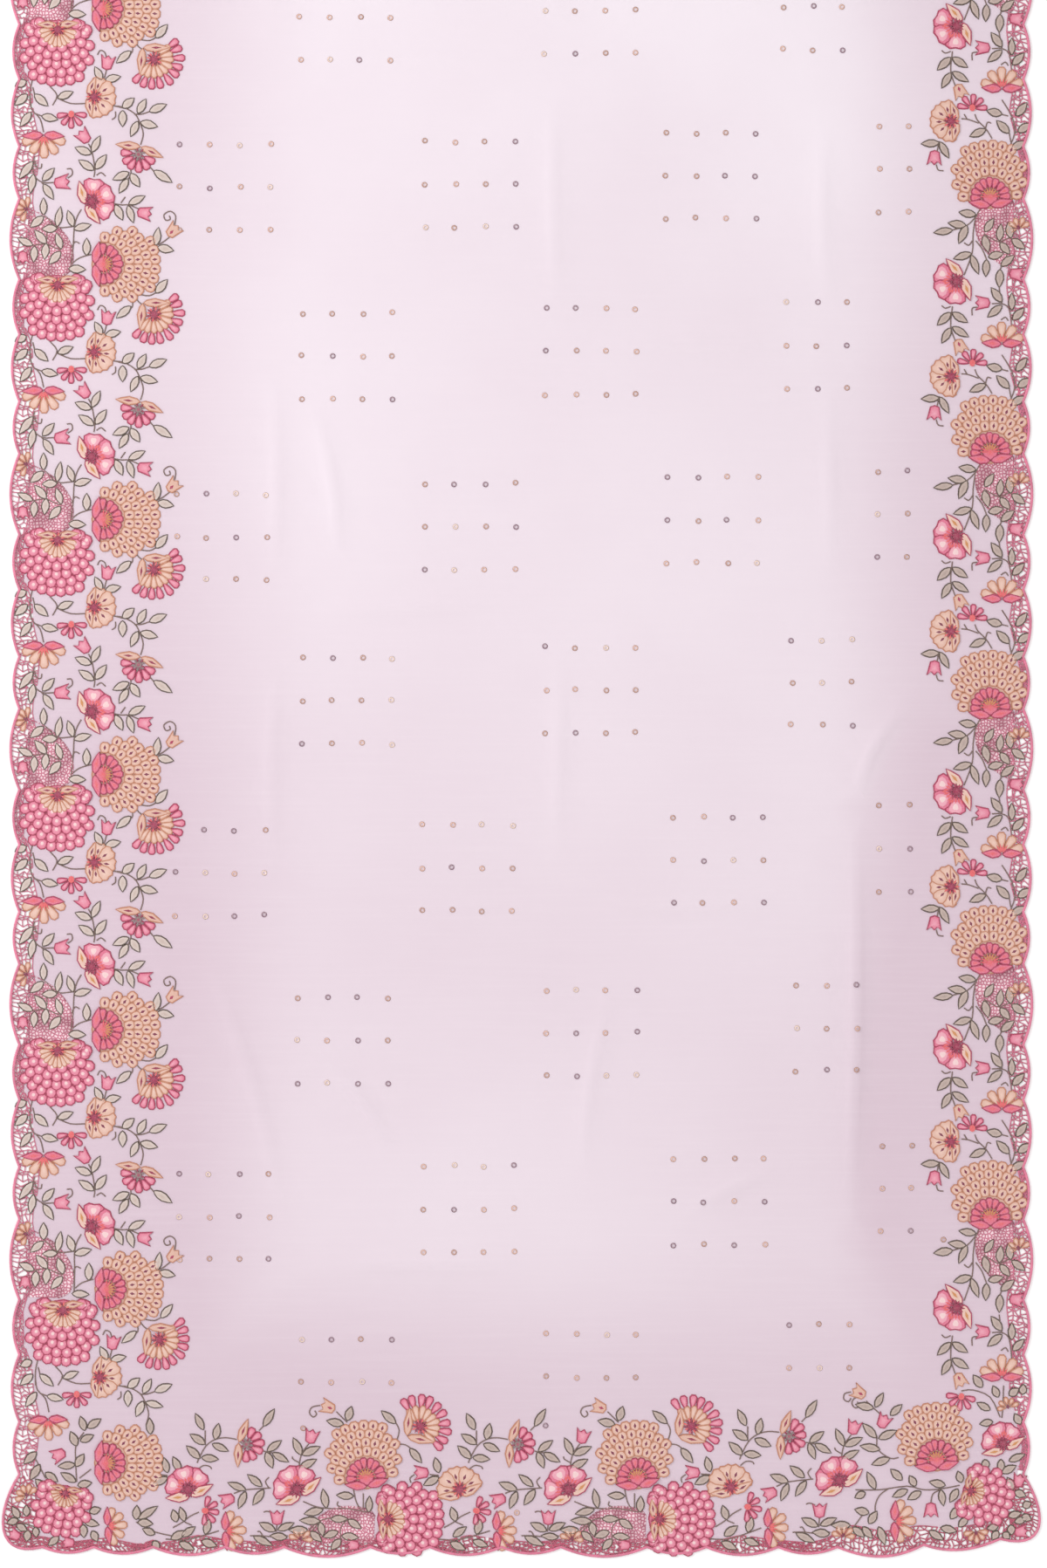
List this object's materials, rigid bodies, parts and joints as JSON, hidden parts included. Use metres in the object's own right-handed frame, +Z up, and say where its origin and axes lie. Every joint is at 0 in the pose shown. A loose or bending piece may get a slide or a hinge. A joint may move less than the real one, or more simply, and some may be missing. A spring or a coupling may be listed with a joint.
{
  "type": "organza saree",
  "caption": "Sheer embroidered organza saree laid out flat, with scalloped cutwork net borders on both long sides and across the pallu end.",
  "frame": {"origin": "middle of the cloth's outline, on the surface that it lies on", "axes": "+Z up, +Y along the length from the pallu end towards the plain hemmed end, +X across the width from the wide border towards the narrow border"},
  "size_m": [1.1566, 5.5, 0.0062],
  "materials": {
    "organza": "sheer crisp organza with a fine plain weave and a soft silky sheen, pale pink-lilac and mauver towards the borders",
    "border_organza": "the same organza behind the embroidery, with pink thread net and cutwork along a corded scalloped rim",
    "rolled_hem": "narrow rolled and stitched hem in the ground organza"
  },
  "bodies": {
    "root": {"organza_ground": "organza", "wide_border": "border_organza", "narrow_border": "border_organza", "pallu_border": "border_organza", "far_hem": "rolled_hem"}
  },
  "joints": []
}
